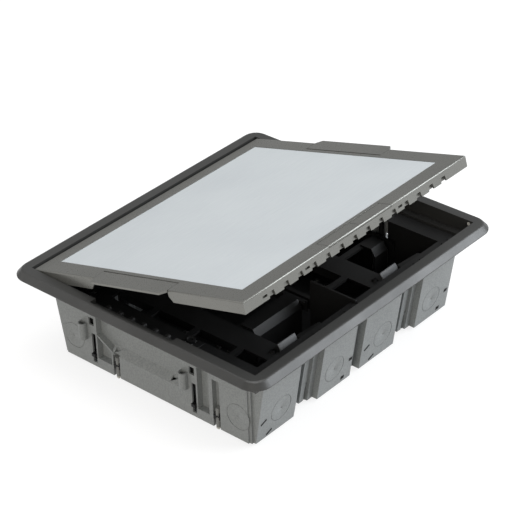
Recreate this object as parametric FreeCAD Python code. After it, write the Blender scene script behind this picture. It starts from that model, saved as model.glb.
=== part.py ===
import FreeCAD, Part
import math
import os
from FreeCAD import Vector

# Floor socket box for a raised or screeded floor. Millimetres, +Z up.
# Origin: centre of the footprint, level with the tips of the levelling feet.
# The hinged edge of the lid is at +Y. The cable outlets are in the two short sides (-X, +X).

os.makedirs("parts", exist_ok=True)

# ---- driving dimensions -------------------------------------------------------------------
FLOOR_TOP = 88.0                 # top of the surround, level with the finished floor
OPEN_X, OPEN_Y = 294.0, 254.2    # clear opening of the surround
OVERHANG = 14.5                  # surround beyond its opening, on every side
BAND = 9.5                       # flat part of the surround next to the opening
SURROUND_THICK = 6.0
SURROUND_LIP = 0.7               # upright outer edge below the bevel
CORNER_R = 17.0                  # outer corners of the surround
SKIRT_WALL = 2.0                 # upright wall of the surround, down to its ledge
LEDGE_TOP = FLOOR_TOP - 13.0
LEDGE_THICK = 3.0
LEDGE_WIDE = 7.5

TUB_BOTTOM = 2.0
TUB_TOP = LEDGE_TOP - LEDGE_THICK
TUB_HALF_X = 134.0
TUB_HALF_Y = 110.5               # long walls at the bottom; they lean outwards going up
WALL = 1.8
LEAN = 0.17                      # outward lean of the long walls, per unit of height
RIM_THICK = 2.0
UNIT = 136.0                     # each long wall is two like units of this length
UNIT_START = -131.0

KNOCKOUT_R = 12.5                # for 25 mm conduit
KNOCKOUT_Z = FLOOR_TOP - 63.5

CLAMP_SLIT_Y = (70.65, -46.15)   # rear and front clamp of each short wall
CLAMP_SCREW_X = 127.7
CLAMP_SCREW_R = 2.4
SCREW_OFFSET = 6.35              # screw beside its slit, along Y
TOWER_Y = (81.0, -36.5)
FOOT_Y = (44.5, -71.0)
FOOT_X = 132.3
FOOT_R = 2.0
RUN = 0.06                       # radial clearance of every running fit

LINER = 1.0                      # sheet of the floor plate
LINER_X = 123.0                  # half width of the black frame that lines the tub
CARRIER_TOP = FLOOR_TOP - 33.0
CARRIER_THICK = 2.5
CELL_PITCH = 47.5
BAR = 6.0                        # bar between two cells
SPINE = 22.0

LID_ANGLE = 15.1                 # the lid stands open by this much
HINGE_Y, HINGE_Z = 121.7, FLOOR_TOP - 5.0
HINGE_X = 118.5
PIN_R = 1.5
LUG_R = 2.7
LID_HALF_X = 146.5
LID_REAR, LID_DEPTH = 123.35, 249.6
LID_FRONT = LID_REAR - LID_DEPTH
LID_SHEET = 2.0
SKIRT_THICK = 1.5
SKIRT_BOTTOM = FLOOR_TOP - 10.6
INSERT_HALF_X = 127.5
INSERT_REAR = LID_REAR - 14.6
INSERT_FRONT = LID_FRONT + 18.0
INSERT_THICK = 3.5
LID_FLOOR = 1.5

OUTLET_Y = 3.3                   # middle of the cable outlets
OUTLET_LONG = 93.0               # recess in the surround
FLAP_LONG = 89.2
FLAP_INNER, FLAP_OUTER = 133.3, 152.5
FLAP_AXIS_X, FLAP_AXIS_Z = 134.4, FLOOR_TOP - 1.6
BARREL_R = 1.4
SMALL_PIN_R = 0.8
HANDLE_HALF = 41.0
HANDLE_AXIS_Y = LID_FRONT + 11.6
SLOT_PITCH = 17.4                # notches in the front skirt of the lid


# ---- helpers --------------------------------------------------------------------------------
def box(x0, x1, y0, y1, z0, z1):
    return Part.makeBox(x1 - x0, y1 - y0, z1 - z0, Vector(x0, y0, z0))


def rod(x, y, z, radius, length, along=(0, 0, 1)):
    return Part.makeCylinder(radius, length, Vector(x, y, z), Vector(*along))


def face_of(points):
    return Part.Face(Part.makePolygon([Vector(*p) for p in points] + [Vector(*points[0])]))


def prism(points, along):
    return face_of(points).extrude(Vector(*along))


def flats(x, y, z, radius, sides):
    """Corners of a small upright part that has a few flats in place of a circle."""
    turns = [math.tau * i / sides for i in range(sides)]
    return [(x + radius * math.cos(a), y + radius * math.sin(a), z) for a in turns]


def stem(x, y, z, radius, length, sides=6):
    return prism(flats(x, y, z, radius, sides), (0, 0, length))


def taper(x, y, z, low_radius, high_radius, length, sides=8):
    low, high = flats(x, y, z, low_radius, sides), flats(x, y, z + length, high_radius, sides)
    walls = [face_of([low[i - 1], low[i], high[i], high[i - 1]]) for i in range(sides)]
    return Part.Solid(Part.Shell(walls + [face_of(low), face_of(high)]))


def fuse(shapes):
    whole = shapes[0].multiFuse(shapes[1:]) if len(shapes) > 1 else shapes[0]
    return whole.removeSplitter()


def cut(shape, tools):
    return shape.cut(Part.makeCompound(tools))


def mirrored(shape, normal):
    return shape.mirror(Vector(0, 0, 0), Vector(*normal))


def both_sides(shapes):
    """The shapes of the -X short side, and their mirror images on the +X side."""
    return shapes + [mirrored(s, (1, 0, 0)) for s in shapes]


def rounded_rectangle(size_x, size_y, radius, z):
    hx, hy = size_x / 2, size_y / 2
    k = radius * (1 - math.sqrt(0.5))
    edges = []
    for sx, sy, turn in ((1, 1, 0), (-1, 1, 1), (-1, -1, 0), (1, -1, 1)):
        ends = [Vector(sx * hx, sy * (hy - radius), z), Vector(sx * (hx - radius), sy * hy, z)]
        if turn:
            ends.reverse()
        edges.append(Part.Arc(ends[0], Vector(sx * (hx - k), sy * (hy - k), z), ends[1]).toShape())
    corners = edges[:]
    for i, arc in enumerate(corners):
        after = corners[(i + 1) % 4]
        edges.append(Part.makeLine(arc.Vertexes[-1].Point, after.Vertexes[0].Point))
    return Part.Wire(Part.__sortEdges__(edges))


def export(node, shapes):
    solids = []
    for shape in shapes if isinstance(shapes, list) else [shapes]:
        solids += shape.Solids
    whole = solids[0] if len(solids) == 1 else Part.makeCompound(solids)
    whole.exportStep("parts/%s.step" % node)


# ---- surround ---------------------------------------------------------------------------------
def surround_frame():
    outer_x, outer_y = OPEN_X + 2 * OVERHANG, OPEN_Y + 2 * OVERHANG
    inset = OVERHANG - BAND
    bevel_z = FLOOR_TOP - SURROUND_THICK + SURROUND_LIP
    low = rounded_rectangle(outer_x, outer_y, CORNER_R, bevel_z)
    high = rounded_rectangle(outer_x - 2 * inset, outer_y - 2 * inset, CORNER_R - inset, FLOOR_TOP)
    bevel = Part.makeLoft([low, high], True, True)
    lip = Part.Face(low).extrude(Vector(0, 0, -SURROUND_LIP))
    flange = fuse([bevel, lip])
    rims = [e for e in flange.Edges if e.BoundBox.ZMin > FLOOR_TOP - 0.01]
    flange = flange.makeFillet(3.0, rims)
    wx, wy = OPEN_X / 2 + SKIRT_WALL, OPEN_Y / 2 + SKIRT_WALL
    skirt = box(-wx, wx, -wy, wy, TUB_TOP, FLOOR_TOP - SURROUND_THICK)
    frame = fuse([flange, skirt])
    hx, hy = OPEN_X / 2, OPEN_Y / 2
    ix, iy = hx - LEDGE_WIDE, hy - LEDGE_WIDE
    frame = frame.cut(box(-hx, hx, -hy, hy, LEDGE_TOP, FLOOR_TOP + 1))
    frame = frame.cut(box(-ix, ix, -iy, iy, TUB_TOP - 1, LEDGE_TOP + 1))
    y0, y1 = OUTLET_Y - OUTLET_LONG / 2, OUTLET_Y + OUTLET_LONG / 2
    recess = box(-hx - 6.8, -hx + 1, y0, y1, FLOOR_TOP - 4.5, FLOOR_TOP + 1)
    frame = cut(frame, both_sides([recess]))
    frame = cut(frame, [frame_screw(x, y, 0.1) for x, y in frame_screw_places()])
    return fuse([frame] + [hinge_ear(side) for side in (-1, 1)])


def hinge_ear(side):
    """An upright ear on the rear ledge that holds the lid's hinge pin."""
    x0 = side * HINGE_X if side > 0 else side * HINGE_X - 3.0
    post = box(x0, x0 + 3.0, HINGE_Y - LUG_R, HINGE_Y + LUG_R, LEDGE_TOP, HINGE_Z)
    foot = box(x0 - 3, x0 + 6, HINGE_Y - LUG_R, OPEN_Y / 2, LEDGE_TOP, LEDGE_TOP + 1.5)
    round_end = rod(x0, HINGE_Y, HINGE_Z, LUG_R, 3.0, (1, 0, 0))
    return fuse([post, round_end, foot]).cut(rod(x0 - 1, HINGE_Y, HINGE_Z, PIN_R, 5.0, (1, 0, 0)))


def frame_screw_places():
    front_rear = [(x, y) for x in (-105.0, -35.0, 35.0, 105.0) for y in (-123.4, 123.4)]
    return front_rear + [(x, 88.0) for x in (-143.3, 143.3)]


def frame_screw(x, y, gap=0.0):
    """Countersunk screw through the ledge and the rim of the tub; gap makes its hole."""
    head = taper(x, y, LEDGE_TOP - 1.8, 1.6 + gap, 3.2 + gap, 1.8)
    return fuse([head, stem(x, y, TUB_TOP - 6.0, 1.6 + gap, 6.0 + LEDGE_THICK - 1.8)])


# ---- tub ----------------------------------------------------------------------------------------
def long_wall_points():
    """Plan outline of one long wall at the bottom: depth behind its front plane along its length.

    Each unit is a wide panel, a slanted side, a groove, a narrow stepped panel and a wide panel."""
    steps = ((0, 0), (48.4, 0), (56.4, 5.1), (56.4, 12.3), (64.7, 12.3), (64.7, 8.0), (72.5, 8.0),
             (72.5, 5.5), (79.2, 5.5), (79.2, 0), (123.3, 0), (129.0, 5.0), (129.0, 7.4))
    points = [(UNIT_START - 3.0, 0)]
    points += [(UNIT_START + along, depth) for along, depth in steps[1:]]
    second = UNIT_START + UNIT
    points += [(second, 7.4), (second, 0)]
    points += [(second + along, depth) for along, depth in steps[1:-3]]
    return points + [(TUB_HALF_X, 0)]


def leaning_body(inset, z0, z1):
    """Solid of the tub's outline, leaning out along Y going up; inset makes its inside."""
    wall = [(x, -TUB_HALF_Y + depth, TUB_BOTTOM) for x, depth in long_wall_points()]
    outline = face_of(wall + [(TUB_HALF_X, 40, TUB_BOTTOM), (-TUB_HALF_X, 40, TUB_BOTTOM)])
    if inset:
        outline = outline.makeOffset2D(-inset, 2)
    rise = Vector(0, -LEAN, 1)
    outline.translate(rise * (z0 - TUB_BOTTOM))
    half = outline.extrude(rise * (z1 - z0))
    half = half.common(box(-200, 200, -200, 0, z0, z1))
    return fuse([half, mirrored(half, (0, 1, 0))])


def side_hollows(grow):
    """Hollows pressed into the outside of the -X wall; grow gives the skin that backs them."""
    outer = -TUB_HALF_X - (0 if grow else 1)
    floor_x = -TUB_HALF_X + 6.2 + grow
    shelf_z = FLOOR_TOP - 63.2 - grow
    top = TUB_TOP - (0 if grow else RIM_THICK)
    y0, y1 = -31.5 - grow, 66.5 + grow
    shelf = [(outer, y0, shelf_z - (0 if grow else 1)), (floor_x, y0, shelf_z + 6.2 + grow * 0.4),
             (floor_x, y0, top), (outer, y0, top)]
    long_hollow = prism(shelf, (0, y1 - y0, 0))
    pocket_rear = box(outer, floor_x, 50.0 - grow, y1, 12.0 - grow, top)
    pocket_front = box(outer, floor_x, -63.0 - grow, -50.3 + grow, 12.0 - grow, top)
    channels = [box(outer, -TUB_HALF_X + 5.0 + grow, y - 3.9 - grow, y + 3.9 + grow, z0, z1 + grow)
                for y, z0, z1 in ((FOOT_Y[0], 0, 26.0), (FOOT_Y[1], 0, 50.0))]
    return [long_hollow, pocket_rear, pocket_front] + channels


def corner_rebates(grow):
    """Upright rebate at each corner, between a short wall and a long wall."""
    cuts = []
    for sy in (-1, 1):
        for reach, back in ((3.5, 108.0), (1.4, 105.5)):
            x1 = -TUB_HALF_X + reach + grow
            y_in, y_out = sy * (back - grow), sy * 140.0
            low, high = (0, TUB_TOP - RIM_THICK) if not grow else (0, TUB_TOP)
            cuts.append(box(-TUB_HALF_X - 2, x1, min(y_in, y_out), max(y_in, y_out), low, high))
    return cuts


def slot_on_front(x, z, size_x, size_z, tilt=0.0):
    """Tool for a small through slot in the front wall, turned by tilt degrees."""
    tool = box(-size_x / 2, size_x / 2, -6, 6, -size_z / 2, size_z / 2)
    tool.rotate(Vector(0, 0, 0), Vector(0, 1, 0), -tilt)
    tool.translate(Vector(x, -TUB_HALF_Y - LEAN * (z - TUB_BOTTOM), z))
    return tool


def knock_out(centre, normal, depth=0.5):
    """Tool that thins the wall over the round of a knock-out."""
    back = Vector(*centre) - Vector(*normal) * depth
    return Part.makeCylinder(KNOCKOUT_R, 3, back, Vector(*normal))


def front_wall_tools():
    tools = []
    tilt = math.degrees(math.atan2(2.6, 5.6))
    for start in (UNIT_START, UNIT_START + UNIT):
        for along in (28.7, 98.3):
            y = -TUB_HALF_Y - LEAN * (KNOCKOUT_Z - TUB_BOTTOM)
            tools.append(knock_out((start + along, y, KNOCKOUT_Z), (0, -1, -LEAN)))
        tools.append(slot_on_front(start + 7.0, FLOOR_TOP - 66.4, 6.6, 1.3, tilt))
        tools.append(slot_on_front(start + 16.0, FLOOR_TOP - 82.0, 6.6, 1.3, tilt))
        tools.append(slot_on_front(start + 120.4, FLOOR_TOP - 65.3, 3.6, 2.6))
        tools.append(slot_on_front(start + 112.2, FLOOR_TOP - 81.2, 3.6, 2.6))
        narrow_y = -TUB_HALF_Y + 8.0
        tools.append(box(start + 70.2, start + 71.8, narrow_y - 8, narrow_y + 4, 20.4, 22.0))
        tools.append(box(start + 70.2, start + 71.8, narrow_y - 8, narrow_y + 4, 0, FLOOR_TOP - 70.4))
    return tools


def screw_tower(y):
    """Hollow round tower on the outside of the -X wall, open at the top."""
    x, z0, z1 = -TUB_HALF_X - 2.2, FLOOR_TOP - 59.5, FLOOR_TOP - 43.0
    tower = rod(x, y, z0, 3.9, z1 - z0)
    web = box(x, -TUB_HALF_X + 1, y - 3.9, y + 3.9, z0, z1)
    return fuse([tower, web]), rod(x, y, z0 + 1.5, 2.6, z1 - z0 - 1.5)


def tub():
    hollows = both_sides(side_hollows(0) + corner_rebates(0))
    skins = both_sides(side_hollows(WALL) + corner_rebates(WALL))
    outer = cut(leaning_body(0, TUB_BOTTOM, TUB_TOP), hollows)
    rim = box(-OPEN_X / 2 + 0.8, OPEN_X / 2 - 0.8, -OPEN_Y / 2 + 0.8, OPEN_Y / 2 - 0.8,
              TUB_TOP - RIM_THICK, TUB_TOP)
    outer = fuse([outer, rim])
    inner = cut(leaning_body(WALL, TUB_BOTTOM + WALL, TUB_TOP + 1), skins)
    shell = outer.cut(inner)
    adds, tools = [], []
    for y_tower, y_slit in zip(TOWER_Y, CLAMP_SLIT_Y):
        tower, bore = screw_tower(y_tower)
        adds.append(tower)
        tools.append(bore)
        y_screw = y_slit + SCREW_OFFSET
        adds.append(box(-TUB_HALF_X + 0.5, -CLAMP_SCREW_X + 5.2, y_screw - 5.5, y_screw + 5.5,
                        TUB_TOP - 3.0, TUB_TOP))
        tools.append(rod(-CLAMP_SCREW_X, y_screw, TUB_TOP - 5, CLAMP_SCREW_R + RUN, 6))
        tools.append(box(-TUB_HALF_X - 1, -TUB_HALF_X + WALL + 1, y_slit - 2.35, y_slit + 2.35,
                         FLOOR_TOP - 82, FLOOR_TOP - 52))
        tools.append(box(-TUB_HALF_X - 1, -TUB_HALF_X + WALL + 1, y_slit - 1.3, y_slit + 4.6,
                         FLOOR_TOP - 43.5, FLOOR_TOP - 36))
    ramp = prism([(-TUB_HALF_X + 0.4, 66.5, 36.5), (-TUB_HALF_X + 0.4, 66.5, 34.5),
                  (-TUB_HALF_X + 0.4, 48.0, 23.5), (-TUB_HALF_X + 0.4, 46.0, 24.6)], (7, 0, 0))
    adds.append(ramp)
    for y in (43.0, -23.0):
        tools.append(prism([(-TUB_HALF_X + 0.9, y + 4.5, 26.5), (-TUB_HALF_X + 5.0, y + 4.5, 30.5),
                            (-TUB_HALF_X + 5.0, y - 3.5, 30.5)], (0, 0, -9)).common(
            box(-TUB_HALF_X, -TUB_HALF_X + 5, y - 5, y + 5, 25.8, 40)))
    for y in (95.0, -95.0):
        tools.append(knock_out((-TUB_HALF_X, y, KNOCKOUT_Z), (-1, 0, 0)))
    front = front_wall_tools()
    shell = fuse([shell] + both_sides(adds))
    shell = cut(shell, both_sides(tools) + front + [mirrored(t, (0, 1, 0)) for t in front])
    shell = cut(shell, [rod(x, y, 0, 3.0, 8) for x in (-110, 110) for y in (-80, 80)])
    return cut(shell, [stem(x, y, TUB_TOP - 7, 1.7, 8) for x, y in frame_screw_places()])


def ledge_clips():
    """Small hooks along the inner edge of the front ledge."""
    y = -OPEN_Y / 2 + LEDGE_WIDE
    clips = []
    for x in (127.0, 118.5, 86.0, 77.0):
        for shift in (0, -UNIT):
            plate = box(x + shift - 3.5, x + shift + 3.5, y, y + 4.5, LEDGE_TOP - 2, LEDGE_TOP)
            hook = box(x + shift - 2.5, x + shift + 2.5, y + 3.0, y + 4.5, LEDGE_TOP, LEDGE_TOP + 2)
            clips.append(fuse([plate, hook]))
    return clips


def outlet_comb():
    """Upright rounded fingers that keep the cables of one outlet apart."""
    x0, x1 = -146.8, -143.2
    base = box(x0, x1, OUTLET_Y - 44.5, OUTLET_Y + 44.5, LEDGE_TOP, LEDGE_TOP + 2)
    fingers = []
    for i in range(6):
        y = OUTLET_Y + 13.5 * (i - 2.5)
        fingers.append(box(x0, x1, y - 2.5, y + 2.5, LEDGE_TOP + 1, FLOOR_TOP - 6))
        fingers.append(rod(x0, y, FLOOR_TOP - 6, 2.5, x1 - x0, (1, 0, 0)))
    return fuse([base] + fingers)


# ---- inside of the tub --------------------------------------------------------------------------
def leaning_block(half_x, y_low, z0, z1):
    """Block whose long sides lean like the long walls; y_low is its half width at the tub's bottom."""
    low, high = y_low + LEAN * (z0 - TUB_BOTTOM), y_low + LEAN * (z1 - TUB_BOTTOM)
    return prism([(-half_x, -low, z0), (-half_x, low, z0), (-half_x, high, z1), (-half_x, -high, z1)],
                 (2 * half_x, 0, 0))


def inner_frame():
    """Black frame that lines the mouth of the tub, open around the clamps and over the conduits."""
    low, t, half_y = TUB_BOTTOM + WALL + LINER, 1.0, 96.2
    top = TUB_TOP + 1.0
    walls = leaning_block(LINER_X, half_y, low, top)
    flange = box(-OPEN_X / 2 + 7.7, OPEN_X / 2 - 7.7, -OPEN_Y / 2 + 7.7, OPEN_Y / 2 - 7.7, TUB_TOP, top)
    frame = fuse([walls, flange]).cut(leaning_block(LINER_X - t, half_y - t, low - 1, top + 1))
    open_low = [box(-200, 200, sy * 100 - 15, sy * 100 + 15, low - 1, 38) for sy in (-1, 1)]
    around_clamps = [box(-LINER_X - 12, -LINER_X + 2, y - 5.5, y + 14, low - 1, top + 1)
                     for y in CLAMP_SLIT_Y]
    conduits = [box(-LINER_X - 1, -LINER_X + 2, y - 15, y + 15, low - 1, 38) for y in (-95, 95)]
    slot = box(-1.1, 1.1, -115, -60, low - 1, top + 1)
    return cut(frame, both_sides(around_clamps + conduits) + open_low + [slot])


def floor_plate():
    """Black plate on the floor of the tub, with the tub's anchor holes."""
    z = TUB_BOTTOM + WALL
    plate = box(-LINER_X, LINER_X, -96.0, 96.0, z, z + LINER)
    return cut(plate, [rod(x, y, z - 1, 3.0, 8) for x in (-110, 110) for y in (-80, 80)])


def arch_points(outward, x):
    """Side profile of a cable hood: flat top, bevelled shoulder and upright front."""
    top, o = CARRIER_TOP + 1.5, outward
    return [(x, -40.0, top + o), (x, -53.0 - o * 0.4, top + o), (x, -57.5 - o, top - 7.0 + o * 0.4),
            (x, -57.5 - o, 24.0)]


def hood(x0, x1):
    thick = 1.5
    outer = arch_points(0, x0)
    inner = arch_points(-thick, x0)
    return prism(outer + inner[::-1], (x1 - x0, 0, 0))


def carrier(x0, spine_x, x1):
    """Plate with cells for socket modules on both sides of a spine."""
    z0, z1 = CARRIER_TOP - CARRIER_THICK, CARRIER_TOP
    y_front, y_rear = -102.0, 102.0
    plate = box(x0, x1, y_front, y_rear, z0, z1)
    lips = [box(x0, x1, y_front, y_front + 1.5, z0 - 8, z1), box(x0, x1, y_rear - 1.5, y_rear, z0 - 8, z1),
            box(x0, x0 + 1.5, y_front, y_rear, z0 - 8, z1), box(x1 - 1.5, x1, y_front, y_rear, z0 - 8, z1)]
    cells = []
    rail = 4.4
    for i in range(4):
        bar_y = 81.0 - CELL_PITCH * i
        cell_rear, cell_front = bar_y - BAR / 2, bar_y - CELL_PITCH + BAR / 2
        cells.append(box(x0 + rail, spine_x, max(cell_front, -97.0), cell_rear, z0 - 1, z1 + 1))
    right = spine_x + SPINE
    cells.append(box(right, x1 - rail, -61.0, -43.0, z0 - 1, z1 + 1))
    for y0, y1 in ((-37.0, 4.0), (10.0, 51.0), (57.0, 97.0)):
        cells.append(box(right, x1 - rail, y0, y1, z0 - 1, z1 + 1))
    cells.append(box(right, x1 + 1, y_front - 1, -60.0, z0 - 9, z1 + 1))
    holes = [stem(spine_x + SPINE / 2, y, z0 - 1, 1.7, 6) for y in (-86.0, 88.0)]
    rims = [box(spine_x - 1.2, spine_x, -59.0, 78.0, z0 - 6, z1)]
    return cut(fuse([plate] + lips), cells + holes).fuse(rims[0]).removeSplitter()


def spines():
    return (-90.0, 48.0)


def standoff_places():
    return [(x + SPINE / 2, y) for x in spines() for y in (-86.0, 88.0)]


def rivet_places():
    """Heads of the rivets that hold the floor plate down."""
    return [(x, y) for x in (-49.0, 87.0) for y in (42.0, 3.0, -9.0, -48.0)]


def standoff(x, y):
    """Hexagonal pillar between the floor plate and the spine of a carrier."""
    z0, z1 = TUB_BOTTOM + WALL + LINER, CARRIER_TOP - CARRIER_THICK
    corners = [(x + 4.6 * math.cos(math.radians(a)), y + 4.6 * math.sin(math.radians(a)), z0)
               for a in range(0, 360, 60)]
    return prism(corners, (0, 0, z1 - z0)).cut(stem(x, y, z1 - 8, 1.6, 9))


def carrier_screw(x, y):
    head = taper(x, y, CARRIER_TOP, 3.2, 2.2, 1.8)
    slot = box(x - 2.4, x + 2.4, y - 0.4, y + 0.4, CARRIER_TOP + 1, CARRIER_TOP + 2)
    return fuse([head, stem(x, y, CARRIER_TOP - 8, 1.6, 8)]).cut(slot)


def floor_rivet(x, y):
    return taper(x, y, TUB_BOTTOM + WALL + LINER, 2.8, 1.8, 1.6)


def partition():
    """Upright plate between the two halves, behind the front wall."""
    z0, z1 = TUB_BOTTOM + WALL + LINER, FLOOR_TOP - 12.0
    front_low, front_high = -100.9, -112.2
    points = [(-1, -62, z0), (-1, -62, z1), (-1, front_high, z1), (-1, front_high, TUB_TOP - 2),
              (-1, front_low, z0)]
    return prism(points, (2, 0, 0))


# ---- floor clamps and feet ----------------------------------------------------------------------
def clamp_screw(y_slit):
    y = y_slit + SCREW_OFFSET
    head = stem(-CLAMP_SCREW_X, y, TUB_TOP, 4.4, 3.4)
    slot = box(-CLAMP_SCREW_X - 5, -CLAMP_SCREW_X + 5, y - 0.6, y + 0.6, TUB_TOP + 2, TUB_TOP + 4)
    shank = rod(-CLAMP_SCREW_X, y, TUB_BOTTOM + WALL + 1, CLAMP_SCREW_R, TUB_TOP - TUB_BOTTOM - WALL - 1)
    return fuse([head, shank]).cut(slot)


def clamp_claw(y_slit):
    """Nut block on the screw, with an arm and a tongue that reaches out through the slit."""
    y, x_in, z0, z1 = y_slit + SCREW_OFFSET, -TUB_HALF_X + WALL + 0.5, 8.0, 16.0
    block = box(x_in, x_in + 8.2, y - 4.2, y + 4.0, z0, z1)
    arm = box(x_in, x_in + 4.0, y_slit - 1.9, y, z0, z1)
    tongue = prism([(x_in, y_slit - 1.9, z0), (x_in, y_slit - 1.9, z1),
                    (-TUB_HALF_X - 2.2, y_slit - 1.9, z1), (-TUB_HALF_X - 2.2, y_slit - 1.9, z1 - 3)],
                   (0, 3.8, 0))
    bore = rod(-CLAMP_SCREW_X, y, z0 - 1, CLAMP_SCREW_R + RUN, 12)
    return fuse([block, arm, tongue]).cut(bore)


def foot_clip(y):
    """Two-legged spring clip that holds one levelling foot in its channel."""
    x0, x1 = -TUB_HALF_X + 0.1, -TUB_HALF_X + 5.0
    shape = [(x0, y - 1.0, 18.0), (x0, y - 2.9, 14.0), (x0, y - 3.8, 10.5), (x0, y - 2.3, 10.5),
             (x0, y, 13.0), (x0, y + 2.3, 10.5), (x0, y + 3.8, 10.5), (x0, y + 2.9, 14.0),
             (x0, y + 1.0, 18.0)]
    collar = box(x0, x1, y - 2.9, y + 2.9, 13.5, 17.0)
    eye = FOOT_R + RUN
    return fuse([prism(shape, (x1 - x0, 0, 0)), collar]).cut(
        box(-FOOT_X - 9, -FOOT_X + eye, y - eye, y + eye, 0, 30))


def levelling_foot(y):
    return fuse([stem(-FOOT_X, y, 1.4, FOOT_R, 20.6, 12), taper(-FOOT_X, y, 0, 0.9, FOOT_R, 1.4, 12)])


# ---- lid, drawn closed and then opened --------------------------------------------------------------
def opened(shape):
    shape.rotate(Vector(0, HINGE_Y, HINGE_Z), Vector(1, 0, 0), -LID_ANGLE)
    return shape


def lid_tray():
    top, under = FLOOR_TOP, FLOOR_TOP - LID_SHEET
    sheet = box(-LID_HALF_X, LID_HALF_X, LID_FRONT, LID_REAR, under, top)
    floor_z = top - INSERT_THICK - 0.3
    well_wall = box(-INSERT_HALF_X - 1.5, INSERT_HALF_X + 1.5, INSERT_FRONT - 1.5, INSERT_REAR + 1.5,
                    floor_z - LID_FLOOR, under)
    t, s = SKIRT_THICK, SKIRT_BOTTOM
    skirts = [box(-LID_HALF_X, LID_HALF_X, LID_FRONT, LID_FRONT + t, s, under + 0.5)]
    gap0, gap1 = OUTLET_Y - OUTLET_LONG / 2 + 1.5, OUTLET_Y + OUTLET_LONG / 2 - 1.5
    for x0 in (-LID_HALF_X, LID_HALF_X - t):
        skirts.append(prism([(x0, LID_FRONT, s), (x0, gap0 - 4, s), (x0, gap0, s + 5), (x0, gap0, under),
                             (x0, LID_FRONT, under)], (t, 0, 0)))
        skirts.append(prism([(x0, LID_REAR, s + 3), (x0, LID_REAR - 3, s), (x0, gap1 + 4, s),
                             (x0, gap1, s + 5), (x0, gap1, under), (x0, LID_REAR, under)], (t, 0, 0)))
    tray = fuse([sheet, well_wall] + skirts)
    edges = [e for e in tray.Edges if e.BoundBox.ZMin > top - 0.01]
    tray = tray.makeFillet(1.4, edges)
    tray = tray.cut(box(-INSERT_HALF_X - 0.3, INSERT_HALF_X + 0.3, INSERT_FRONT - 0.3,
                        INSERT_REAR + 0.3, floor_z, top + 1))
    flap_gap = box(-LID_HALF_X - 1, -FLAP_INNER + 1.3, OUTLET_Y - FLAP_LONG / 2 - 0.4,
                   OUTLET_Y + FLAP_LONG / 2 + 0.4, under - 1, top + 1)
    handle_gap = box(-HANDLE_HALF - 0.4, HANDLE_HALF + 0.4, LID_FRONT - 1, HANDLE_AXIS_Y + 2.4,
                     under - 0.3, top + 1)
    tray = cut(tray, both_sides([flap_gap]) + [handle_gap] + front_notches())
    lugs = both_sides([lid_lug()] + flap_lugs()) + handle_lugs()
    return opened(cut(fuse([tray] + lugs), both_sides([flap_pin()]) + [handle_pin()]))


def front_notches():
    """Row of tapered notches along the lower edge of the front skirt."""
    tools = []
    for i in range(14):
        x = -113.9 + SLOT_PITCH * i
        y, z = LID_FRONT - 1, SKIRT_BOTTOM - 1
        tools.append(prism([(x - 3.7, y, z), (x + 3.7, y, z), (x + 2.6, y, z + 6.2), (x - 2.6, y, z + 6.2)],
                           (0, 4, 0)))
        if i in (0, 3, 10):
            tools.append(box(x - 11.0, x - 5.5, y, y + 4, SKIRT_BOTTOM + 3.2, SKIRT_BOTTOM + 5.2))
    return tools


def lid_lug():
    """Lug under the rear of the lid that turns on the hinge pin."""
    x0 = -HINGE_X - 7.6
    block = box(x0, x0 + 4.0, HINGE_Y - LUG_R, HINGE_Y + LUG_R - 0.9, HINGE_Z, FLOOR_TOP - 1.5)
    end = rod(x0, HINGE_Y, HINGE_Z, LUG_R, 4.0, (1, 0, 0))
    return fuse([block, end]).cut(rod(x0 - 1, HINGE_Y, HINGE_Z, PIN_R + RUN, 6.0, (1, 0, 0)))


def flap_lugs():
    """Lugs for the pin of one flap, and the ledges that its ends rest on."""
    lugs = []
    for sy in (-1, 1):
        end = OUTLET_Y + sy * FLAP_LONG / 2
        lugs.append(box(-142.0, -138.0, min(end - sy * 2, end + sy * 3), max(end - sy * 2, end + sy * 3),
                        FLOOR_TOP - LID_SHEET - 1.6, FLOOR_TOP - LID_SHEET))
        y = end + sy * 2.0
        lugs.append(box(-FLAP_AXIS_X - 1.8, -FLAP_AXIS_X + 1.8, y - 1.5, y + 1.5,
                        FLAP_AXIS_Z - 2.0, FLOOR_TOP - 1.5))
    return lugs


def handle_lugs():
    """Lugs for the pin of the handle, and the ledges that its ends rest on."""
    lugs = []
    for sx in (-1, 1):
        end = sx * HANDLE_HALF
        lugs.append(box(min(end - sx * 2, end + sx * 3), max(end - sx * 2, end + sx * 3), LID_FRONT + 3,
                        LID_FRONT + 7, FLOOR_TOP - LID_SHEET - 1.6, FLOOR_TOP - LID_SHEET))
        x = end + sx * 2.0
        lugs.append(box(x - 1.5, x + 1.5, HANDLE_AXIS_Y - 1.8, HANDLE_AXIS_Y + 1.8,
                        FLAP_AXIS_Z - 2.0, FLOOR_TOP - 1.5))
    return lugs


def lid_insert():
    top = FLOOR_TOP - 0.3
    plate = box(-INSERT_HALF_X, INSERT_HALF_X, INSERT_FRONT, INSERT_REAR, top - INSERT_THICK, top)
    return opened(plate)


def lid_ribs():
    """Two hat-section stiffeners under the floor of the lid."""
    ribs = []
    z = FLOOR_TOP - INSERT_THICK - 0.3 - LID_FLOOR
    for y in (-45.0, 45.0):
        outer = [(-118, y - 16, z), (-118, y - 9, z - 1.2), (-118, y - 6, z - 5.5), (-118, y + 6, z - 5.5),
                 (-118, y + 9, z - 1.2), (-118, y + 16, z)]
        inner = [(-118, y + 8.2, z), (-118, y + 5, z - 4.3), (-118, y - 5, z - 4.3), (-118, y - 8.2, z)]
        ribs.append(opened(prism(outer + inner, (236, 0, 0))))
    return ribs


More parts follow.
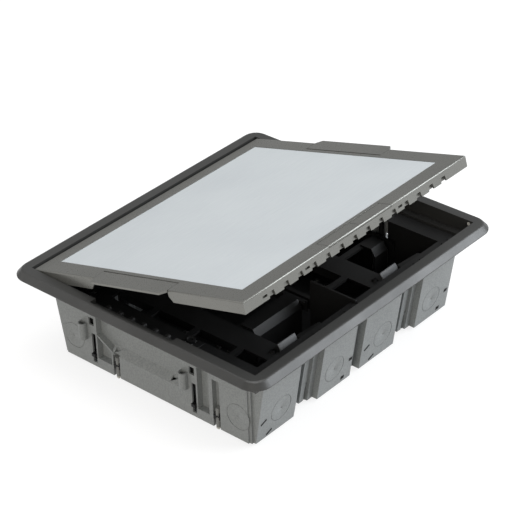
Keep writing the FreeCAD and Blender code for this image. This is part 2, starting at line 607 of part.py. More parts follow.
def outlet_flap():
    """Flap over one cable outlet; its outer edge reaches into the recess of the surround."""
    y0, y1 = OUTLET_Y - FLAP_LONG / 2, OUTLET_Y + FLAP_LONG / 2
    z0, z1 = FLOOR_TOP - LID_SHEET, FLOOR_TOP
    outline = [(-FLAP_INNER, y0, z0), (-LID_HALF_X, y0, z0), (-FLAP_OUTER, y0 + 4, z0),
               (-FLAP_OUTER, y1 - 4, z0), (-LID_HALF_X, y1, z0), (-FLAP_INNER, y1, z0)]
    plate = prism(outline, (0, 0, z1 - z0))
    barrel = rod(-FLAP_AXIS_X, y0 + 0.2, FLAP_AXIS_Z, BARREL_R, FLAP_LONG - 0.4, (0, 1, 0))
    bore = rod(-FLAP_AXIS_X, y0 - 1, FLAP_AXIS_Z, SMALL_PIN_R + RUN, FLAP_LONG + 2, (0, 1, 0))
    return fuse([plate, barrel]).cut(bore)


def flap_pin():
    long = FLAP_LONG + 7.0
    return rod(-FLAP_AXIS_X, OUTLET_Y - long / 2, FLAP_AXIS_Z, SMALL_PIN_R, long, (0, 1, 0))


def lift_handle():
    z0, z1 = FLOOR_TOP - LID_SHEET, FLOOR_TOP
    plate = box(-HANDLE_HALF, HANDLE_HALF, LID_FRONT + 0.2, HANDLE_AXIS_Y + 1.1, z0, z1)
    outer = [e for e in plate.Edges if e.BoundBox.ZMin > z1 - 0.01 and e.BoundBox.YMax < LID_FRONT + 1]
    plate = plate.makeFillet(1.4, outer)
    barrel = rod(-HANDLE_HALF + 0.2, HANDLE_AXIS_Y, FLAP_AXIS_Z, BARREL_R, 2 * HANDLE_HALF - 0.4, (1, 0, 0))
    bore = rod(-HANDLE_HALF - 1, HANDLE_AXIS_Y, FLAP_AXIS_Z, SMALL_PIN_R + RUN, 2 * HANDLE_HALF + 2,
               (1, 0, 0))
    return opened(fuse([plate, barrel]).cut(bore))


def handle_pin():
    half = HANDLE_HALF + 3.5
    return rod(-half, HANDLE_AXIS_Y, FLAP_AXIS_Z, SMALL_PIN_R, 2 * half, (1, 0, 0))


def hinge_pin():
    return rod(-HINGE_X - 8.4, HINGE_Y, HINGE_Z, PIN_R, 9.6, (1, 0, 0))


# ---- write every piece --------------------------------------------------------------------------
def pair(node, shape):
    export(node + "_left", shape)
    export(node + "_right", mirrored(shape, (1, 0, 0)))


export("tub", tub())
export("surround_frame", surround_frame())
export("frame_screws", [frame_screw(x, y) for x, y in frame_screw_places()])
export("ledge_clips", ledge_clips())
pair("outlet_comb", outlet_comb())
pair("hinge_pin", hinge_pin())

left_spine, right_spine = spines()
export("inner_frame", inner_frame())
export("floor_plate", floor_plate())
export("carrier_left", carrier(-121.6, left_spine, -1.5))
export("carrier_right", carrier(1.5, right_spine, 121.6))
export("cable_hood", hood(-66.0, -6.5))
export("cable_strap", hood(96.0, 114.0))
export("partition", partition())
export("carrier_standoffs", [standoff(x, y) for x, y in standoff_places()])
export("carrier_screws", [carrier_screw(x, y) for x, y in standoff_places()])
export("floor_rivets", [floor_rivet(x, y) for x, y in rivet_places()])

for i, where in enumerate(("rear", "front")):
    pair("clamp_screw_" + where, clamp_screw(CLAMP_SLIT_Y[i]))
    pair("clamp_claw_" + where, clamp_claw(CLAMP_SLIT_Y[i]))
    pair("levelling_foot_" + where, levelling_foot(FOOT_Y[i]))
export("foot_clips", both_sides([foot_clip(y) for y in FOOT_Y]))

export("lid_tray", lid_tray())
export("lid_insert", lid_insert())
export("lid_ribs", lid_ribs())
pair("outlet_flap", opened(outlet_flap()))
pair("flap_pin", opened(flap_pin()))
export("lift_handle", lift_handle())
export("handle_pin", opened(handle_pin()))
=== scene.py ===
import bmesh
import bpy
import math
from mathutils import Matrix, Vector


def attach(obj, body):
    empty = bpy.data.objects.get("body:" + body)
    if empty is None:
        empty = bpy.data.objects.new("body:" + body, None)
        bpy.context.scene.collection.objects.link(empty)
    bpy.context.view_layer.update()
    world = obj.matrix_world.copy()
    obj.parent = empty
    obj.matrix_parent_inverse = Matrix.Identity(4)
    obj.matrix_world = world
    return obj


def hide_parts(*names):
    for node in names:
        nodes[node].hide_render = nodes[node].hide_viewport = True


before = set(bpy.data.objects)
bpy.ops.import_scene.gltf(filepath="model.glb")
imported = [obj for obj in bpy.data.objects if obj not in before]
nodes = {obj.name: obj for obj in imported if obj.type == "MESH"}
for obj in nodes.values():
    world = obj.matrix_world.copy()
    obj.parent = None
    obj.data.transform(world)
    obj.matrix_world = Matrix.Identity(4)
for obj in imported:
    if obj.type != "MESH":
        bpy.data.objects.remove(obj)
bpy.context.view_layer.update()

# Sizes of the floor box, in metres, for the details that are added here.
FLOOR_TOP = 0.088                             # upper face of the surround, level with the finished floor
SIDES = (("left", -1), ("right", 1))

# Lid, as it lies when closed.
HINGE = Vector((0, 0.1217, 0.083))
LID_ANGLE = math.radians(15.1)                # how far the lid stands open
LID_FRONT = -0.12625
SKIRT_HALF_X = 0.1425
SKIRT_BOTTOM, SKIRT_TOP = 0.0774, 0.0858
HANDLE_HALF = 0.041
HANDLE_AXIS_Y = LID_FRONT + 0.0116
OUTLET_Y = 0.0033                             # middle of the two side flaps

# Tub: two like units side by side, with long walls that lean outwards.
TUB_BOTTOM, TUB_TOP = 0.002, 0.072
TUB_HALF_X, TUB_HALF_Y = 0.134, 0.1105
LEAN = 0.17                                   # how far a long wall goes outwards for each metre up
UNIT, UNIT_START = 0.136, -0.131
KNOCKOUT_R, KNOCKOUT_Z, KNOCKOUT_DEEP = 0.0125, 0.0245, 0.0005
KNOCKOUTS_ALONG_UNIT = (0.0287, 0.0983)
KNOCKOUT_Y = 0.095                            # those of the short walls, from the middle
SCORE = 0.0005                                # width of the ring left round a knock-out's round

# Clamps and levelling feet in the short walls.
CLAMP_X, CLAMP_LOW = 0.1277, 0.0048
CLAMPS_Y = (("rear", 0.0770), ("front", -0.0398))
THREAD_PITCH = 0.001
# Collars of painted shade over the clamps' bosses.
SHADE_COLLAR_X, SHADE_COLLAR_HALF = 0.1278, 0.0054
FOOT_X = 0.13475
FEET_Y = (("rear", 0.0445), ("front", -0.0710))

X, Y, Z = 0, 1, 2
RIGHT_ANGLE = math.radians(90)


# ---- materials ------------------------------------------------------------------------------
def linear(hex_colour):
    """sRGB hex to the linear colour that a shader takes."""
    parts = [int(hex_colour[i:i + 2], 16) / 255 for i in (1, 3, 5)]
    return [c / 12.92 if c <= 0.04045 else ((c + 0.055) / 1.055) ** 2.4 for c in parts] + [1.0]


def add(tree, kind, settings=None, **inputs):
    """Adds a node with its settings.

    An input goes by its name, or by its number as in i6. It is a value, or the socket of another node.
    """
    node = tree.nodes.new(kind)
    for name, value in (settings or {}).items():
        setattr(node, name, value)
    for name, value in inputs.items():
        socket = node.inputs[int(name[1:])] if name[1:].isdigit() else node.inputs[name.replace("_", " ")]
        if isinstance(value, bpy.types.NodeSocket):
            tree.links.new(value, socket)
        else:
            socket.default_value = value
    return node


def new_material(name):
    material = bpy.data.materials.new(name)
    material.use_nodes = True
    tree = material.node_tree
    tree.nodes.clear()
    return material, tree


def mixed_tones(tree, factor, first, second):
    """Colour between two tones."""
    return add(tree, "ShaderNodeMix", {"data_type": "RGBA"}, Factor=factor, i6=first, i7=second).outputs[2]


def moulded(name, colour, shade, roughness, grain_mm, bump, painted_lit_tip=None, speckle_mm=0.0):
    """Moulded plastic, also for black pieces of painted shade: two near tones, a fine grain and a varied
    gloss.

    The tones lie in soft clouds, or in specks of a stated size. A painted lit tip is a paler colour for
    light, and the height below which it shows.
    """
    material, tree = new_material(name)
    where = add(tree, "ShaderNodeTexCoord").outputs["Object"]
    clouds = add(tree, "ShaderNodeTexNoise", Vector=where, Scale=22.0, Detail=4.0, Roughness=0.55)
    blend = clouds
    if speckle_mm:
        blend = add(tree, "ShaderNodeTexNoise", Vector=where, Scale=1000.0 / speckle_mm, Detail=1.0)
    contrast = add(tree, "ShaderNodeMapRange", Value=blend.outputs["Fac"], i1=0.35, i2=0.65)
    tones = mixed_tones(tree, contrast.outputs["Result"], linear(colour), linear(shade))
    # Painted light: the tip is paler below its height.
    if painted_lit_tip:
        lit_tip_colour, lit_tip_top = painted_lit_tip
        height = add(tree, "ShaderNodeSeparateXYZ", Vector=where).outputs["Z"]
        above_lit_tip = add(tree, "ShaderNodeMapRange", Value=height, i1=lit_tip_top, i2=lit_tip_top + 0.001)
        tones = mixed_tones(tree, above_lit_tip.outputs["Result"], linear(lit_tip_colour), tones)
    grain = add(tree, "ShaderNodeTexNoise", Vector=where, Scale=1000.0 / grain_mm, Detail=2.0)
    gloss = add(tree, "ShaderNodeMapRange", Value=clouds.outputs["Fac"], i1=0.3, i2=0.7,
                i3=roughness - 0.05, i4=roughness + 0.07)
    relief = add(tree, "ShaderNodeBump", Height=grain.outputs["Fac"], Strength=bump, Distance=0.0002)
    shader = add(tree, "ShaderNodeBsdfPrincipled", Base_Color=tones,
                 Roughness=gloss.outputs["Result"], Normal=relief.outputs["Normal"])
    add(tree, "ShaderNodeOutputMaterial", Surface=shader.outputs["BSDF"])
    return material


def metal(name, colour, shade, roughness, grain, metallic=1.0, bump=0.15):
    """Metal with a grain that moves both its tone and its gloss; a larger number gives a finer grain."""
    material, tree = new_material(name)
    where = add(tree, "ShaderNodeTexCoord").outputs["Object"]
    stretched = add(tree, "ShaderNodeMapping", Vector=where, Scale=grain)
    lines = add(tree, "ShaderNodeTexNoise", Vector=stretched.outputs["Vector"], Scale=1.0, Detail=3.0)
    clouds = add(tree, "ShaderNodeTexNoise", Vector=where, Scale=14.0, Detail=3.0)
    both = add(tree, "ShaderNodeMath", {"operation": "MULTIPLY_ADD"}, i0=lines.outputs["Fac"], i1=0.6,
               i2=clouds.outputs["Fac"])
    fade = add(tree, "ShaderNodeMapRange", Value=both.outputs["Value"], i1=0.5, i2=1.1)
    tones = mixed_tones(tree, fade.outputs["Result"], linear(colour), linear(shade))
    gloss = add(tree, "ShaderNodeMapRange", Value=lines.outputs["Fac"], i1=0.3, i2=0.7,
                i3=roughness - 0.06, i4=roughness + 0.06)
    relief = add(tree, "ShaderNodeBump", Height=lines.outputs["Fac"], Strength=bump, Distance=0.0001)
    shader = add(tree, "ShaderNodeBsdfPrincipled", Base_Color=tones, Metallic=metallic,
                 Roughness=gloss.outputs["Result"], Normal=relief.outputs["Normal"])
    add(tree, "ShaderNodeOutputMaterial", Surface=shader.outputs["BSDF"])
    return material


# Moulded PA6 of the tub: mid grey with a soft sheen and a very fine spark-eroded grain.
tub_plastic = moulded("moulded_polyamide_grey", "#959898", "#878a8a", 0.42, 0.9, 0.06, speckle_mm=1.4)
# Moulded PA6 of the surround: darker, smoother, satin.
surround_plastic = moulded("moulded_polyamide_dark_grey", "#3a3a39", "#353534", 0.38, 1.1, 0.05)
# Moulded ABS of everything inside: black, low sheen. The carriers are black; on the inner frame, floor plate,
# clamp collars and the blades beside the tabs, the black is also painted shade.
black_plastic_and_painted_shade = moulded("moulded_abs_black_and_painted_shade", "#121212", "#171717", 0.5, 1.0, 0.06)
# Dull black of the pieces in the small slots: painted shade, so each slot looks like a dark, empty hole.
slot_shade_black = moulded("painted_slot_shade_black", "#060606", "#0a0a0a", 0.9, 1.0, 0.05)
# Moulded POM of the catch studs in the surround: natural, nearly white.
pale_plastic = moulded("moulded_pom_natural", "#e4e3dd", "#dad9d3", 0.4, 1.0, 0.05)
# Mid grey of the leaning patches on the carriers' front rails: painted light, where the light falls on the
# black rail.
lit_rail_grey = moulded("painted_lit_rail_grey", "#6f7071", "#656667", 0.45, 1.0, 0.05)
# Moulded POM of the levelling feet: grey shank, waxy, with a pale tip below 2.2 mm that is painted light,
# where it comes out of the shade of its channel.
foot_plastic_painted_tip = moulded("moulded_pom_grey_painted_lit_tip", "#868785", "#7d7e7c", 0.5, 0.8, 0.05, painted_lit_tip=("#dcdbd5", 0.0022))
# Grey-anodised folded metal of the lid's trim, ribs, flaps and handle: warm grey, mirrors softly.
trim_steel = metal("anodised_metal_grey", "#80807c", "#797975", 0.32, (1100, 1100, 1100), 0.72, 0.004)
# Stainless steel sheet set into the lid: blasted and fine matt, so nearly even and pale.
insert_steel = metal("blasted_stainless_steel", "#cfd4d6", "#c7cccf", 0.55, (60, 900, 60), 0.35, 0.05)
# Zinc-plated steel of the hinge, flap and handle pins: bright grey with a drawn grain.
zinc_steel = metal("zinc_plated_steel", "#b9bbb8", "#9fa19f", 0.34, (400, 400, 3000))
# Zinc-plated rivets in the shade of the floor: dull, and painted mid grey for that shade.
shaded_zinc = metal("zinc_steel_painted_shade", "#6a6a68", "#5c5c5a", 0.6, (500, 500, 500), 0.6)
# Phosphated steel of the screws and claws: near black, dull. The black strip of painted shade in the latch's
# seam has its tone too.
blackened_steel = metal("phosphated_steel_black", "#1c1c1c", "#141415", 0.6, (900, 900, 900), 0.4)
# Blackened spring steel of the feet's clips and springs.
spring_steel = metal("blackened_spring_steel", "#0d0d0e", "#151516", 0.7, (900, 900, 300), 0.2)

# Finish of the CAD nodes, by how their names start. What isn't listed is zinc-plated.
FINISHES = (
    (tub_plastic, ("tub",)),
    (surround_plastic, ("surround_frame",)),
    (trim_steel, ("lid_tray", "lid_ribs", "lift_handle", "outlet_flap")),
    (insert_steel, ("lid_insert",)),
    # Black of the inner frame and floor plate: painted shade, for the dark inside of the tub.
    (black_plastic_and_painted_shade, ("carrier_left", "carrier_right", "carrier_standoffs", "cable_", "partition",
                       "outlet_comb", "ledge_clips", "inner_frame", "floor_plate")),
    (foot_plastic_painted_tip, ("levelling_foot",)),
    (spring_steel, ("foot_clips",)),
    (blackened_steel, ("frame_screws", "carrier_screws", "clamp_claw")),
    (shaded_zinc, ("floor_rivets",)),
)
for name, node in nodes.items():
    node.data.materials.clear()
    node.data.materials.append(
        next((finish for finish, starts in FINISHES if name.startswith(starts)), zinc_steel))


# ---- modelling ----------------------------------------------------------------------------------
def deselect():
    for other in list(bpy.context.selected_objects):
        other.select_set(False)


def start(kind, name, **settings):
    """Adds one primitive at its size and place, and gives back its object, alone and selected."""
    deselect()
    getattr(bpy.ops.mesh, "primitive_" + kind + "_add")(**settings)
    piece = bpy.context.object
    piece.name = name
    return piece


def block(name, low, high):
    """Starts a piece as a block between two corners."""
    low, high = Vector(low), Vector(high)
    piece = start("cube", name, size=1.0, location=(low + high) / 2)
    piece.scale = high - low
    bpy.ops.object.transform_apply()
    return piece


def select_faces(piece, test):
    """Enters edit mode and selects the faces whose middle and normal pass the test."""
    bpy.ops.object.mode_set(mode="EDIT")
    bpy.ops.mesh.select_mode(type="FACE")
    bpy.ops.mesh.select_all(action="DESELECT")
    for face in bmesh.from_edit_mesh(piece.data).faces:
        face.select_set(test(face.calc_center_median(), face.normal))
    bmesh.update_edit_mesh(piece.data)


def facing(axis, way=1):
    """Test for the faces that look along an axis, or against it."""
    return lambda middle, normal: normal[axis] * way > 0.9


def extrude(x, y, z):
    bpy.ops.mesh.extrude_region_move(TRANSFORM_OT_translate={"value": (x, y, z)})


def leave_edit():
    bpy.ops.object.mode_set(mode="OBJECT")


def soften(piece, width, segments=2, angle=35.0):
    """Rounds every sharp edge of a piece and smooths what is round."""
    rounding = piece.modifiers.new("rounded_edges", "BEVEL")
    rounding.width = width
    rounding.segments = segments
    rounding.limit_method = "ANGLE"
    rounding.angle_limit = math.radians(angle)
    bpy.ops.object.modifier_apply(modifier=rounding.name)
    bpy.ops.object.shade_smooth_by_angle(angle=math.radians(40))


def place(piece, matrix):
    """Moves a piece and bakes the move into its mesh."""
    piece.matrix_world = matrix @ piece.matrix_world
    bpy.ops.object.transform_apply()


def copy_of(model, name, matrix):
    """Copies a piece with a mesh of its own and places the copy."""
    deselect()
    model.select_set(True)
    bpy.context.view_layer.objects.active = model
    bpy.ops.object.duplicate(linked=False)
    piece = bpy.context.object
    piece.name = name
    place(piece, matrix)
    return piece


def turn_outwards():
    """Makes every face of the active piece point outwards."""
    bpy.ops.object.mode_set(mode="EDIT")
    bpy.ops.mesh.select_all(action="SELECT")
    bpy.ops.mesh.normals_make_consistent(inside=False)
    leave_edit()


def finish_piece(piece, body, finish):
    """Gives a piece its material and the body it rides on."""
    piece.data.materials.clear()
    piece.data.materials.append(finish)
    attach(piece, body)


def opened():
    """The turn that takes a piece from the closed lid to the lid as it stands."""
    return Matrix.Translation(HINGE) @ Matrix.Rotation(-LID_ANGLE, 4, "X") @ Matrix.Translation(-HINGE)


# ---- walls of the tub ------------------------------------------------------------------------------
def knockout_disc():
    """Round of a knock-out: a scored ring is left round it, and a dimple marks its middle."""
    radius, dimple = KNOCKOUT_R - SCORE, 0.0011
    disc = start("cylinder", "knockout_disc", vertices=64, radius=radius, depth=KNOCKOUT_DEEP - 0.00005,
                 location=(0, 0, -KNOCKOUT_DEEP / 2))
    select_faces(disc, facing(Z))
    bpy.ops.mesh.inset(thickness=radius - dimple)
    bpy.ops.mesh.inset(thickness=0.0002, depth=-0.0004)
    leave_edit()
    soften(disc, 0.00008, 1, 60)
    return disc


def knockout_places():
    """Turn and place of every knock-out, from the middle of its face outwards."""
    lean = math.atan(LEAN)
    reach = TUB_HALF_Y + LEAN * (KNOCKOUT_Z - TUB_BOTTOM)
    for side in (-1, 1):
        for unit in (0, 1):
            for along in KNOCKOUTS_ALONG_UNIT:
                x = UNIT_START + UNIT * unit + along
                turn = Matrix.Rotation(-side * (RIGHT_ANGLE + lean), 4, "X")
                yield Matrix.Translation((x, side * reach, KNOCKOUT_Z)) @ turn
        for y in (-KNOCKOUT_Y, KNOCKOUT_Y):
            turn = Matrix.Rotation(RIGHT_ANGLE * side, 4, "Y")
            yield Matrix.Translation((side * TUB_HALF_X, y, KNOCKOUT_Z)) @ turn


def add_knockouts():
    model = knockout_disc()
    for number, matrix in enumerate(list(knockout_places()), 1):
        disc = copy_of(model, "knockout_disc_%02d" % number, matrix)
        finish_piece(disc, "box", tub_plastic)
    bpy.data.objects.remove(model)


def add_painted_slot_shades():
    """Black pieces with a thin flange, pushed into the small slots of the long walls: painted shade, so the
    slots look as dark as deep hollows.
    """
    tilt = math.atan2(2.6, 5.6)
    lean = Matrix.Rotation(math.atan(LEAN), 4, "X")
    # Place along the unit, height above the feet's tips, width, height and turn of each slot.
    slots = ((0.0070, 0.0216, 0.0074, 0.0018, tilt), (0.0160, 0.0060, 0.0074, 0.0018, tilt),
             (0.1204, 0.0227, 0.0044, 0.0034, 0), (0.1122, 0.0068, 0.0044, 0.0034, 0))
    flange, lip, depth = 0.00025, 0.0005, 0.0012
    number = 0
    for along, z, wide, tall, turn in slots:
        y = -TUB_HALF_Y - LEAN * (z - TUB_BOTTOM)
        model = block("shade_piece", (-wide / 2, -flange, -tall / 2), (wide / 2, 0, tall / 2))
        select_faces(model, facing(Y))
        bpy.ops.mesh.inset(thickness=lip)
        extrude(0, depth, 0)
        leave_edit()
        soften(model, 0.0001, 1)
        for start_x in (UNIT_START, UNIT_START + UNIT):
            for side in (1, -1):
                number += 1
                mirrored = Matrix.Diagonal((1, side, 1, 1))
                matrix = mirrored @ Matrix.Translation((start_x + along, y, z)) @ lean
                shade_piece = copy_of(model, "painted_slot_shade_%02d" % number, matrix @ Matrix.Rotation(-turn, 4, "Y"))
                if side < 0:
                    turn_outwards()
                # Painted shade: the black piece darkens the slot.
                finish_piece(shade_piece, "box", slot_shade_black)
        bpy.data.objects.remove(model)


def foot_springs():
    """Black wire spring across each levelling foot: a bar and one slanting leg."""
    half_wire, half_bar, low, high = 0.0003, 0.0029, 0.0140, 0.0149
    for side_name, side in SIDES:
        for where, y in FEET_Y:
            x = side * FOOT_X
            spring = block("foot_spring_%s_%s" % (where, side_name), (x - half_wire, y - half_bar, low),
                           (x + half_wire, y + half_bar, high))
            select_faces(spring, facing(Z, -1))
            bpy.ops.mesh.subdivide(number_cuts=5)
            leave_edit()
            select_faces(spring, lambda middle, normal: normal.z < -0.9 and abs(middle.y - y) < 0.0006)
            extrude(0, 0.0022, -0.0030)
            leave_edit()
            soften(spring, 0.0001, 1, 60)
            finish_piece(spring, "box", spring_steel)


# ---- lid ---------------------------------------------------------------------------------------------
def skirt_hem():
    """Folded hem behind the lid's front skirt, which shows grey through the notches."""
    low_y, thick = LID_FRONT + 0.0021, 0.0008
    hem = block("skirt_hem", (-SKIRT_HALF_X, low_y, SKIRT_BOTTOM + 0.0003),
                (SKIRT_HALF_X, low_y + thick, SKIRT_TOP))
    soften(hem, 0.0003)
    place(hem, opened())
    finish_piece(hem, "lid", trim_steel)


def add_latch_seam_shade():
    """Hook-shaped seam of the latch, let into the handle's plate and turning with it: a black strip that
    paints the shade in the seam.
    """
    top, deep = FLOOR_TOP + 0.00004, 0.0006
    seam_shade = block("latch_seam_shade", (0.0002, -0.1233, top - deep), (0.0006, -0.1152, top))
    select_faces(seam_shade, facing(Y))
    extrude(0.0010, 0.0012, 0)
    leave_edit()
    soften(seam_shade, 0.00004, 1)
    place(seam_shade, opened())
    finish_piece(seam_shade, "lift_handle", blackened_steel)


def hinge_fillers():
    """Strips along the tray's edge beside the barrels.

    Each ends short of the circle that the inner corner of its flap or handle runs along as it turns,
    which has a radius of 1.94 mm about the pin.
    """
    low, high = FLOOR_TOP - 0.0012, FLOOR_TOP - 0.0002
    half_long, near, far = 0.0445, 0.13202, 0.1324
    rear, front = OUTLET_Y + half_long, OUTLET_Y - half_long
    handle_near, handle_far = HANDLE_AXIS_Y + 0.00199, HANDLE_AXIS_Y + 0.00237
    strips = (
        ("flap_filler_left", (-far, front, low), (-near, rear, high)),
        ("flap_filler_right", (near, front, low), (far, rear, high)),
        ("handle_filler", (-HANDLE_HALF, handle_near, low), (HANDLE_HALF, handle_far, high)),
    )
    for name, corner, opposite in strips:
        strip = block(name, corner, opposite)
        soften(strip, 0.0001)
        place(strip, opened())
        finish_piece(strip, "lid", trim_steel)


# ---- clamps --------------------------------------------------------------------------------------------
def screw_thread(name, x, y, low, turns):
    """One ridge that winds up round the core of a clamp screw."""
    thread = start("circle", name, vertices=4, radius=0.00045, fill_type="NGON",
                   location=(x + 0.00192, y, low + 0.001), rotation=(RIGHT_ANGLE, 0, 0))
    bpy.ops.object.transform_apply()
    bpy.context.scene.cursor.location = (x, y, low)
    bpy.ops.object.origin_set(type="ORIGIN_CURSOR")
    winding = thread.modifiers.new("thread", "SCREW")
    winding.axis = "Z"
    winding.screw_offset = THREAD_PITCH
    winding.iterations = turns
    winding.steps = winding.render_steps = 12
    bpy.ops.object.modifier_apply(modifier=winding.name)
    bpy.ops.object.transform_apply()
    turn_outwards()


def threaded_screw(name, x, y):
    """Clamp screw: a hexagonal head with a recess, a core and one thread that runs down it."""
    low, high = CLAMP_LOW, TUB_TOP
    head_tall, bare = 0.0034, 0.002
    head = start("cylinder", name, vertices=6, radius=0.0044, depth=head_tall,
                 location=(x, y, high + head_tall / 2))
    select_faces(head, facing(Z))
    bpy.ops.mesh.inset(thickness=0.0009)
    bpy.ops.mesh.inset(thickness=0.0005, depth=-0.0012)
    leave_edit()
    soften(head, 0.0003)
    core = start("cylinder", name + "_core", vertices=24, radius=0.0019, depth=high - low,
                 location=(x, y, (low + high) / 2))
    soften(core, 0.0002)
    screw_thread(name + "_thread", x, y, low, int((high - low - bare) / THREAD_PITCH))
    for part in (core, head):
        part.select_set(True)
    bpy.context.view_layer.objects.active = head
    bpy.ops.object.join()
    return head


def add_clamp_screws():
    for side_name, side in SIDES:
        for where, y in CLAMPS_Y:
            body = "clamp_screw_%s_%s" % (where, side_name)
            screw = threaded_screw("threaded_screw_%s_%s" % (where, side_name), side * CLAMP_X, y)
            finish_piece(screw, body, blackened_steel)
            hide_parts(body)


def add_clamp_shade_collars():
    """Black collar round the head of each clamp screw, which closes the mouth of the tub there. Its black is
    painted shade: it hides the grey boss below under the dark of the tub's inside.
    """
    low, thick, ring = TUB_TOP + 0.00005, 0.0009, 0.0008
    for side_name, side in SIDES:
        for where, y in CLAMPS_Y:
            x = side * SHADE_COLLAR_X
            shade_collar = block("clamp_shade_collar_%s_%s" % (where, side_name), (x - SHADE_COLLAR_HALF, y - SHADE_COLLAR_HALF, low),
                           (x + SHADE_COLLAR_HALF, y + SHADE_COLLAR_HALF, low + thick))
            select_faces(shade_collar, lambda middle, normal: abs(normal.z) > 0.9)
            bpy.ops.mesh.inset(thickness=ring)
            bpy.ops.mesh.bridge_edge_loops()
            leave_edit()
            # Three of its sides reach on: outwards, to the front and, a little, to the rear.
            for axis, way, reach in ((X, side, 0.0060), (Y, -1, 0.0061), (Y, 1, 0.0019)):
                edge = (x, y)[axis] + way * SHADE_COLLAR_HALF
                select_faces(shade_collar, lambda middle, normal: abs(middle[axis] - edge) < 0.0001)
                move = [0, 0, 0]
                move[axis] = way * reach
                extrude(*move)
                leave_edit()
            soften(shade_collar, 0.0001, 1)
            # Painted shade: the black collar darkens the boss below.
            finish_piece(shade_collar, "box", black_plastic_and_painted_shade)


# ---- inside of the tub, and the surround -------------------------------------------------------------
def add_lit_rail_patches():
    """Leaning patch at the front of each carrier's spine, painted mid grey for the light that falls on the
    black rail there, and beside it a black blade that paints the slanted shadow on the rail.
    """
    for number, x in enumerate((-0.068, 0.070), 1):
        lit_patch = block("lit_rail_patch_%d" % number, (x - 0.008, -0.0925, 0.0550), (x + 0.014, -0.0913, 0.0580))
        select_faces(lit_patch, facing(Z))
        extrude(0, 0.0030, 0.0042)
        leave_edit()
        soften(lit_patch, 0.0003)
        # Painted light: the patch is grey where the light falls on the black rail.
        finish_piece(lit_patch, "box", lit_rail_grey)
        shadow_blade = block("rail_shadow_blade_%d" % number, (x + 0.0145, -0.0960, 0.0545),
                      (x + 0.0155, -0.0900, 0.0600))
        select_faces(shadow_blade, facing(X))
        extrude(0.022, -0.0060, 0.0040)
        leave_edit()
        soften(shadow_blade, 0.0002)
        # Painted shadow: the black blade stands for the slanted shadow on the rail.
        finish_piece(shadow_blade, "box", black_plastic_and_painted_shade)


def catch_studs():
    """End of the catch pin in each short side of the surround, near its front corner."""
    for side_name, side in SIDES:
        stud = start("cylinder", "catch_stud_" + side_name, vertices=32, radius=0.0016, depth=0.0004,
                     location=(side * 0.1469, -0.1221, 0.0845), rotation=(0, RIGHT_ANGLE, 0))
        bpy.ops.object.transform_apply()
        select_faces(stud, facing(X, -side))
        bpy.ops.mesh.inset(thickness=0.0003)
        leave_edit()
        soften(stud, 0.0001)
        finish_piece(stud, "box", pale_plastic)


def round_edges():
    """Welds and rounds the edges of the folded and moulded plates, which catch a thin line of light."""
    widths_mm = {"lid_tray": 0.7, "outlet_flap_left": 0.5, "outlet_flap_right": 0.5, "cable_hood": 0.4,
                 "cable_strap": 0.4, "partition": 0.4, "lift_handle": 0.3, "lid_ribs": 0.4}
    for name, width in widths_mm.items():
        weld = nodes[name].modifiers.new("welded", "WELD")
        weld.merge_threshold = 0.00001
        rounding = nodes[name].modifiers.new("rounded_edges", "BEVEL")
        rounding.width = width / 1000
        rounding.segments = 2
        rounding.limit_method = "ANGLE"
        rounding.angle_limit = math.radians(40)


round_edges()
add_knockouts()
add_painted_slot_shades()
foot_springs()
skirt_hem()
add_latch_seam_shade()
hinge_fillers()
add_lit_rail_patches()
catch_studs()
add_clamp_shade_collars()
add_clamp_screws()


# ---- floor, light and camera ------------------------------------------------------------------
# Name, place, size, watts and colour of each lamp. All of them shine at one point inside the box.
LAMPS = (
    ("front", (1.38, -1.27, 1.19), 1.4, 44.0, (0.91, 0.955, 1.0)),
    ("left", (-2.0, -0.8, 0.7), 1.2, 14.0, (1.0, 0.94, 0.83)),
    ("top", (-0.1, 0.1, 2.2), 1.6, 26.0, (1.0, 1.0, 1.0)),
    ("rear", (-1.2, 1.6, 1.2), 1.4, 5.0, (1.0, 1.0, 1.0)),
)
LIT_POINT = Vector((0, 0, 0.06))
VIEW_AZIMUTH, VIEW_ELEVATION, VIEW_ROLL = (math.radians(angle) for angle in (-48.1163, 32.3582, -1.9696))
VIEW_POINT, VIEW_DISTANCE = Vector((-0.0135, -0.0126, 0.088)), 1.7076


def studio_floor():
    """Matt floor that keeps the shadow, and glows white where the camera or a mirroring face sees it."""
    bpy.ops.mesh.primitive_plane_add(size=14, location=(0, 0, 0))
    floor = bpy.context.object
    floor.name = "studio_floor"
    material, tree = new_material("studio_floor_white")
    ray = add(tree, "ShaderNodeLightPath")
    seen = add(tree, "ShaderNodeMath", {"operation": "MAXIMUM"}, i0=ray.outputs["Is Camera Ray"],
               i1=ray.outputs["Is Glossy Ray"])
    white = add(tree, "ShaderNodeEmission", Color=linear("#ffffff"), Strength=0.8)
    matt = add(tree, "ShaderNodeBsdfDiffuse", Color=linear("#8a8a8a"))
    lit = add(tree, "ShaderNodeAddShader", i0=matt.outputs["BSDF"], i1=white.outputs["Emission"])
    shown = add(tree, "ShaderNodeMixShader", i0=seen.outputs["Value"], i1=matt.outputs["BSDF"],
                i2=lit.outputs["Shader"])
    add(tree, "ShaderNodeOutputMaterial", Surface=shown.outputs["Shader"])
    floor.data.materials.append(material)


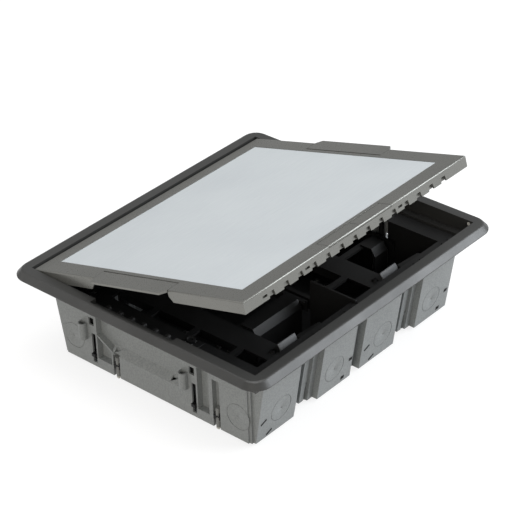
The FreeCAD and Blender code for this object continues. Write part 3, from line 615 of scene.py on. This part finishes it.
def studio_world():
    """Soft light from all round, before a plain white backdrop."""
    world = bpy.data.worlds.new("studio")
    bpy.context.scene.world = world
    world.use_nodes = True
    tree = world.node_tree
    tree.nodes.clear()
    ray = add(tree, "ShaderNodeLightPath")
    soft = add(tree, "ShaderNodeBackground", Color=linear("#f3f3f3"), Strength=0.42)
    backdrop = add(tree, "ShaderNodeBackground", Color=linear("#ffffff"), Strength=1.0)
    seen = add(tree, "ShaderNodeMath", {"operation": "MAXIMUM"}, i0=ray.outputs["Is Camera Ray"],
               i1=ray.outputs["Is Transmission Ray"])
    both = add(tree, "ShaderNodeMixShader", i0=seen.outputs["Value"], i1=soft.outputs["Background"],
               i2=backdrop.outputs["Background"])
    add(tree, "ShaderNodeOutputWorld", Surface=both.outputs["Shader"])


def add_lamps():
    for name, where, size, watts, colour in LAMPS:
        lamp = bpy.data.lights.new(name, "AREA")
        lamp.size = size
        lamp.energy = watts
        lamp.color = colour
        holder = bpy.data.objects.new(name, lamp)
        bpy.context.scene.collection.objects.link(holder)
        holder.location = where
        holder.rotation_euler = (LIT_POINT - Vector(where)).to_track_quat("-Z", "Y").to_euler()


def add_camera():
    data = bpy.data.cameras.new("view")
    data.sensor_width = 36.0
    data.lens = 139.2
    data.clip_start, data.clip_end = 0.05, 30.0
    holder = bpy.data.objects.new("view", data)
    bpy.context.scene.collection.objects.link(holder)
    back = Vector((math.sin(VIEW_AZIMUTH) * math.cos(VIEW_ELEVATION),
                   -math.cos(VIEW_AZIMUTH) * math.cos(VIEW_ELEVATION), math.sin(VIEW_ELEVATION)))
    right = Vector((math.cos(VIEW_AZIMUTH), math.sin(VIEW_AZIMUTH), 0))
    up = back.cross(right)
    turned_right = right * math.cos(VIEW_ROLL) + up * math.sin(VIEW_ROLL)
    turned_up = up * math.cos(VIEW_ROLL) - right * math.sin(VIEW_ROLL)
    turn = Matrix((turned_right, turned_up, back)).transposed()
    holder.matrix_world = Matrix.Translation(VIEW_POINT + back * VIEW_DISTANCE) @ turn.to_4x4()
    bpy.context.scene.camera = holder


studio_floor()
studio_world()
add_lamps()
add_camera()
bpy.context.scene.view_settings.view_transform = "Standard"
